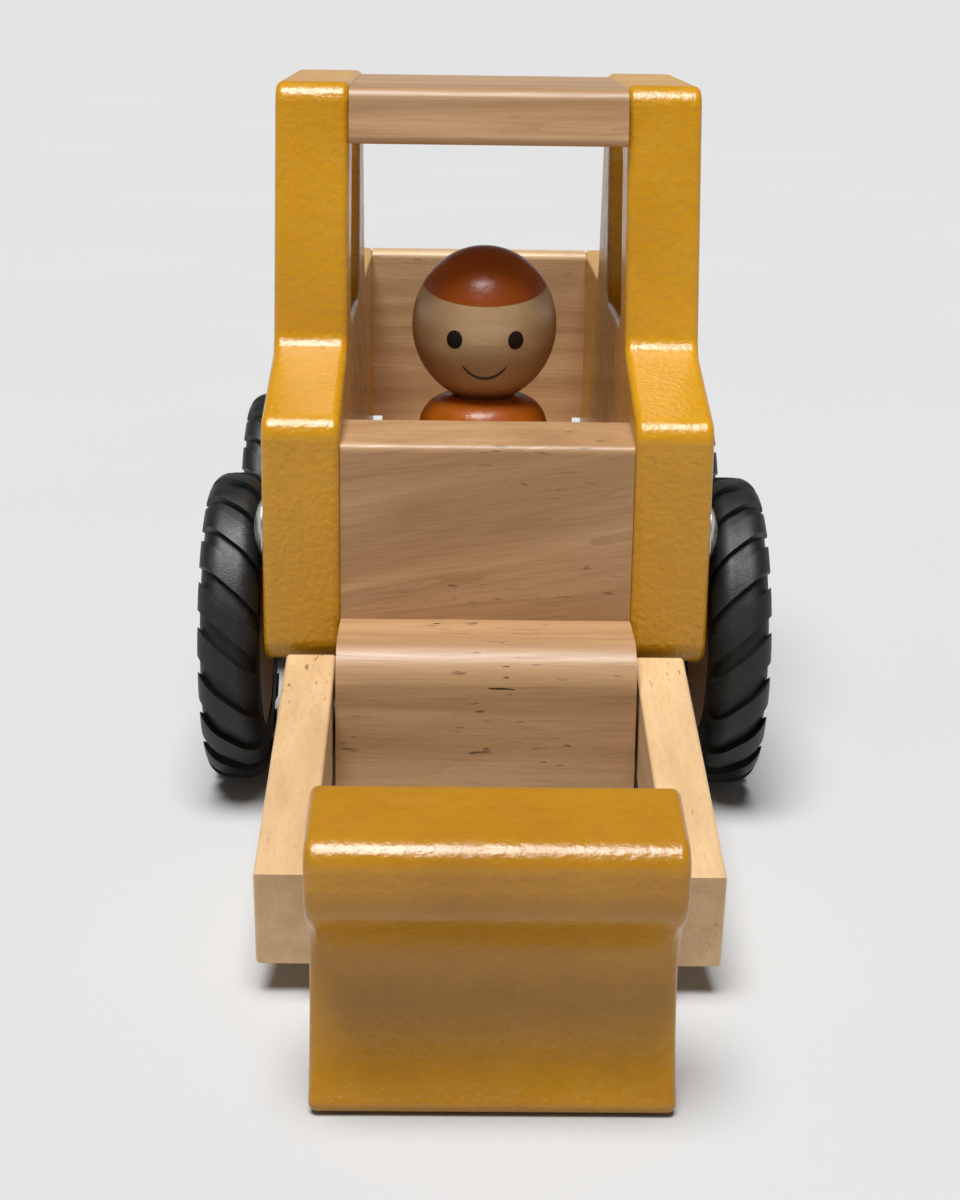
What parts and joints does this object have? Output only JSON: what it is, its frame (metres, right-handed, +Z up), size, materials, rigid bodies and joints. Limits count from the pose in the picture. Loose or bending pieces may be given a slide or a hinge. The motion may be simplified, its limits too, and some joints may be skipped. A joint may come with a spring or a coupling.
{
  "type": "toy loader with a front blade",
  "caption": "Wooden toy loader with yellow side panels, a front blade on lifting arms, ribbed tyres and a peg driver in the open cab.",
  "frame": {"origin": "centre of the bounding box on the ground plane", "axes": "+Z up, -Y towards the blade, +X to the viewer's right when the blade faces the viewer"},
  "size_m": [0.12, 0.322, 0.1506],
  "materials": {
    "yellow_paint": "gloss",
    "natural_wood": "satin",
    "tyre_rubber": "satin",
    "steel": "satin",
    "orange_paint": "gloss"
  },
  "bodies": {
    "frame": {"chassis": "natural_wood", "right_side_panel": "yellow_paint", "left_side_panel": "yellow_paint", "front_board": "natural_wood", "roof_board": "natural_wood", "rear_board": "natural_wood", "tie_rod": "steel", "tie_rod_caps": "steel", "front_axle": "steel", "rear_axle": "steel", "axle_caps": "steel", "arm_pivot_rod": "steel"},
    "blade_arms": {"right_arm": "natural_wood", "left_arm": "natural_wood", "crossbar": "natural_wood", "blade": "yellow_paint", "arm_dowels": "natural_wood", "blade_dowels": "natural_wood"},
    "driver": {"driver_body": "orange_paint", "driver_head": "natural_wood", "neck_dowel": "natural_wood"},
    "front_right_wheel": {"front_right_hub": "natural_wood", "front_right_tyre": "tyre_rubber"},
    "front_left_wheel": {"front_left_hub": "natural_wood", "front_left_tyre": "tyre_rubber"},
    "rear_right_wheel": {"rear_right_hub": "natural_wood", "rear_right_tyre": "tyre_rubber"},
    "rear_left_wheel": {"rear_left_hub": "natural_wood", "rear_left_tyre": "tyre_rubber"}
  },
  "joints": [
    {"name": "blade_lift", "type": "hinge", "parent": "frame", "child": "blade_arms", "pos_m": [0, -0.0415, 0.0285], "axis": [-1, 0, 0], "range_deg": [0, 40]},
    {"name": "driver_lift", "type": "slide", "parent": "frame", "child": "driver", "axis": [0, 0, 1], "range_m": [0, 0.02]},
    {"name": "front_right_spin", "type": "hinge", "parent": "frame", "child": "front_right_wheel", "pos_m": [0.0525, 0.0016, 0.0338], "axis": [1, 0, 0], "continuous": true},
    {"name": "front_left_spin", "type": "hinge", "parent": "frame", "child": "front_left_wheel", "pos_m": [-0.0525, 0.0016, 0.0338], "axis": [1, 0, 0], "continuous": true},
    {"name": "rear_right_spin", "type": "hinge", "parent": "frame", "child": "rear_right_wheel", "pos_m": [0.0525, 0.096, 0.0338], "axis": [1, 0, 0], "continuous": true},
    {"name": "rear_left_spin", "type": "hinge", "parent": "frame", "child": "rear_left_wheel", "pos_m": [-0.0525, 0.096, 0.0338], "axis": [1, 0, 0], "continuous": true}
  ]
}
